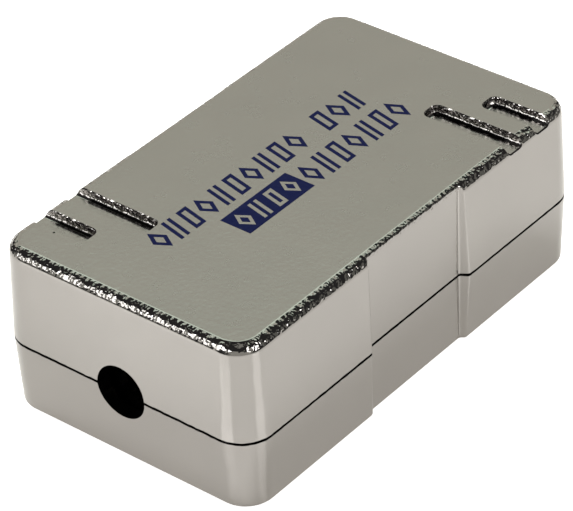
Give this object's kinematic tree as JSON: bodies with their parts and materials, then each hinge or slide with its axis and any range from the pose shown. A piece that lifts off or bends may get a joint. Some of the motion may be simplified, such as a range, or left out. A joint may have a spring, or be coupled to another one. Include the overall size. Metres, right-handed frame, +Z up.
{
  "type": "shielded network cable junction box",
  "caption": "Plated two-part box that joins two network cables: round cable entry in each end, grip recesses in the sides, grooves in the top, punch-down terminals inside.",
  "frame": {"origin": "middle of the underside, at the centre of the bounding box's bottom", "axes": "+X along the box from one cable entry to the other, +Y across its width, +Z up through the top face"},
  "size_m": [0.068, 0.04, 0.024],
  "materials": {
    "plated_housing": "bright plating on moulded plastic; satin spark-eroded texture on the top",
    "printing_ink": "screen-printed ink",
    "board_laminate": "green solder resist on glass laminate",
    "terminal_plastic": "fine matt moulding",
    "contact_metal": "tinned spring bronze",
    "screw_steel": "zinc-plated steel"
  },
  "bodies": {
    "root": {"base_shell": "plated_housing", "board_screw_1": "screw_steel", "board_screw_2": "screw_steel", "circuit_board": "board_laminate", "closing_screw_1": "screw_steel", "closing_screw_2": "screw_steel", "cover_shell": "plated_housing", "idc_contact_01": "contact_metal", "idc_contact_02": "contact_metal", "idc_contact_03": "contact_metal", "idc_contact_04": "contact_metal", "idc_contact_05": "contact_metal", "idc_contact_06": "contact_metal", "idc_contact_07": "contact_metal", "idc_contact_08": "contact_metal", "idc_contact_09": "contact_metal", "idc_contact_10": "contact_metal", "idc_contact_11": "contact_metal", "idc_contact_12": "contact_metal", "idc_contact_13": "contact_metal", "idc_contact_14": "contact_metal", "idc_contact_15": "contact_metal", "idc_contact_16": "contact_metal", "terminal_block_1": "terminal_plastic", "terminal_block_2": "terminal_plastic", "terminal_block_3": "terminal_plastic", "terminal_block_4": "terminal_plastic"}
  },
  "joints": []
}
